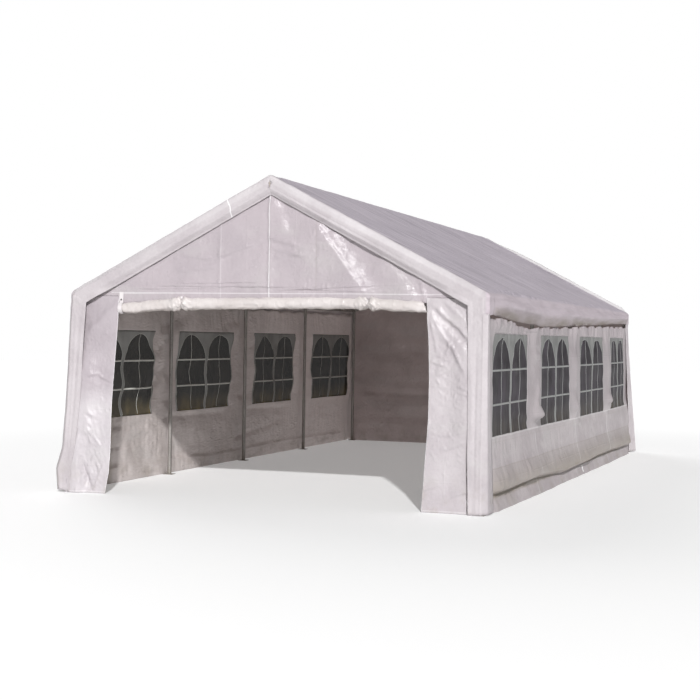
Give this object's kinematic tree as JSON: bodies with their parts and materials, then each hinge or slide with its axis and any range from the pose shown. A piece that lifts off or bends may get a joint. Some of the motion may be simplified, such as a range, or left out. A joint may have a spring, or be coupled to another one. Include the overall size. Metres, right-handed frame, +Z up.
{
  "type": "marquee tent",
  "caption": "Walk-in party marquee: tube frame on foot plates, pitched fabric roof with valances, front wall with a rolled-up door, window side walls and a plain back wall.",
  "frame": {"origin": "on the ground, in the middle of the footprint", "axes": "X runs from the left side wall to the right one, Y from the doorway to the back wall, Z up"},
  "size_m": [4.0966, 8.0464, 2.955],
  "materials": {
    "galvanised_steel": "dull galvanised steel tube with a fine spangle",
    "roof_sheet": "woven white sheet, slightly greyed, with fine tape weave and soft creases",
    "wall_sheet": "woven white sheet with a satin sheen, weld lines and creases",
    "window_film": "clear soft film with white printed window bars"
  },
  "bodies": {
    "root": {"leg_left_1": "galvanised_steel", "leg_left_2": "galvanised_steel", "leg_left_3": "galvanised_steel", "leg_left_4": "galvanised_steel", "leg_left_5": "galvanised_steel", "leg_right_1": "galvanised_steel", "leg_right_2": "galvanised_steel", "leg_right_3": "galvanised_steel", "leg_right_4": "galvanised_steel", "leg_right_5": "galvanised_steel", "rafter_left_1": "galvanised_steel", "rafter_left_2": "galvanised_steel", "rafter_left_3": "galvanised_steel", "rafter_left_4": "galvanised_steel", "rafter_left_5": "galvanised_steel", "rafter_right_1": "galvanised_steel", "rafter_right_2": "galvanised_steel", "rafter_right_3": "galvanised_steel", "rafter_right_4": "galvanised_steel", "rafter_right_5": "galvanised_steel", "ridge_rail": "galvanised_steel", "eave_rail_left": "galvanised_steel", "eave_rail_right": "galvanised_steel", "roof_cover": "roof_sheet", "front_gable": "wall_sheet", "front_strip_left": "wall_sheet", "front_strip_right": "wall_sheet", "rolled_door": "wall_sheet", "side_wall_left": "wall_sheet", "side_wall_right": "wall_sheet", "back_wall": "wall_sheet", "window_left_1": "window_film", "window_left_2": "window_film", "window_left_3": "window_film", "window_left_4": "window_film", "window_right_1": "window_film", "window_right_2": "window_film", "window_right_3": "window_film", "window_right_4": "window_film"}
  },
  "joints": []
}
